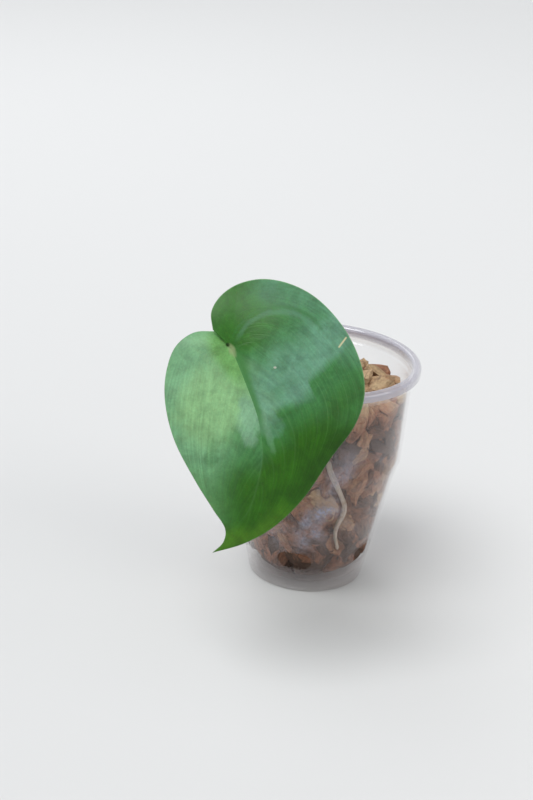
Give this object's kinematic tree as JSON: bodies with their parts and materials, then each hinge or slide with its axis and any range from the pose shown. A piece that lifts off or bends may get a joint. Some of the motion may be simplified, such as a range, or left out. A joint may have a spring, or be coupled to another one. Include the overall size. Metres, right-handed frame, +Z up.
{
  "type": "potted scindapsus cutting",
  "caption": "Young vining aroid cutting: a heart-shaped leaf on an arched petiole, its stem rooted in coarse bark in a clear, slotted nursery cup with a turned-down rim.",
  "frame": {"origin": "on the surface that the cup stands on, below the middle of the whole plant and cup seen from above", "axes": "+Z up along the cup's axis, -Y towards the side that the leaf faces, +X to the right seen from that side"},
  "size_m": [0.0902, 0.135, 0.135],
  "materials": {
    "clear_plastic": "clear, glossy, slightly misted moulded plastic",
    "bark": "rough, dry conifer bark chips",
    "stem": "smooth green stem with tan roots",
    "petiole": "satin, fresh green",
    "leaf": "satin, waxy green with faint silvery patches"
  },
  "bodies": {
    "root": {"cup": "clear_plastic", "growing_mix": "bark", "rooted_stem": "stem", "petiole": "petiole", "leaf_blade": "leaf"}
  },
  "joints": []
}
